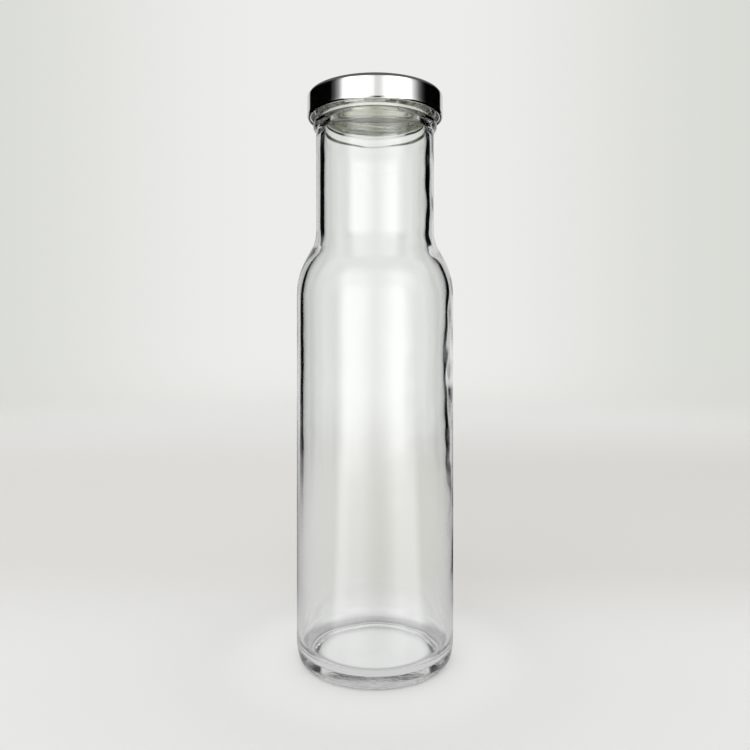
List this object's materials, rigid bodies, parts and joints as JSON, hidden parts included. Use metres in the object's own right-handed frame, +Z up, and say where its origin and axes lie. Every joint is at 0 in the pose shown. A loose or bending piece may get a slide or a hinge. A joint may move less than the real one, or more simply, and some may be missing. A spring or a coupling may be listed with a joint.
{
  "type": "glass sauce bottle with twist-off cap",
  "caption": "Tall clear glass bottle with a straight wide neck, soft shoulder and straight round body, closed by a shallow metal twist-off cap.",
  "frame": {"origin": "centre of the bearing ring that the bottle stands on, at the bottom", "axes": "+Z up along the bottle's axis, from the base to the cap; -Y is the front; the bottle is round about +Z"},
  "size_m": [0.0538, 0.0538, 0.1934],
  "materials": {
    "clear_glass": "clear flint glass, smooth outside, slightly wavy inside",
    "tinplate": "bright silver lacquered tinplate, with a golden food lacquer inside",
    "sealing_compound": "soft off-white sealing compound"
  },
  "bodies": {
    "root": {"bottle": "clear_glass", "cap": "tinplate", "cap_liner": "sealing_compound"}
  },
  "joints": []
}
